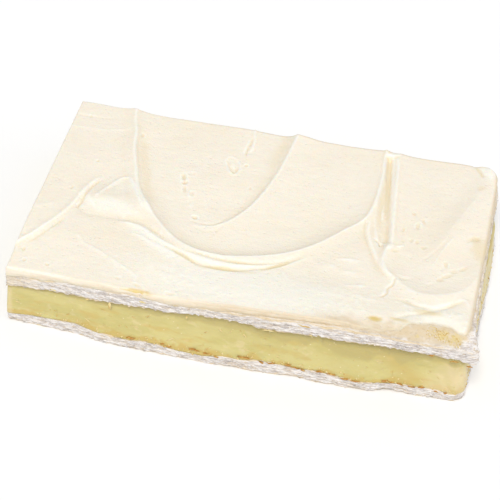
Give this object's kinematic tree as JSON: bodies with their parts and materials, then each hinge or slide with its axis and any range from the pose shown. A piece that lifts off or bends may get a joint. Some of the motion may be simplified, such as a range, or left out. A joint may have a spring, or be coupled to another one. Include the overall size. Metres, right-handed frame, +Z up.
{
  "type": "mille feuille slice",
  "caption": "Oblong slice of custard between two sheets of flaky puff pastry, with a thick coat of icing spread in sweeping strokes.",
  "frame": {"origin": "middle of the footprint, on the surface that the slice rests on", "axes": "+X along the slice's length, -Y towards the cut front, +Z up through the layers"},
  "size_m": [0.1334, 0.0818, 0.0233],
  "materials": {
    "pastry": "dry flaky pastry, matte",
    "custard": "set custard, slightly moist",
    "icing": "soft ivory icing, satin"
  },
  "bodies": {
    "root": {"pastry_base": "pastry", "custard": "custard", "pastry_top": "pastry", "icing": "icing"}
  },
  "joints": []
}
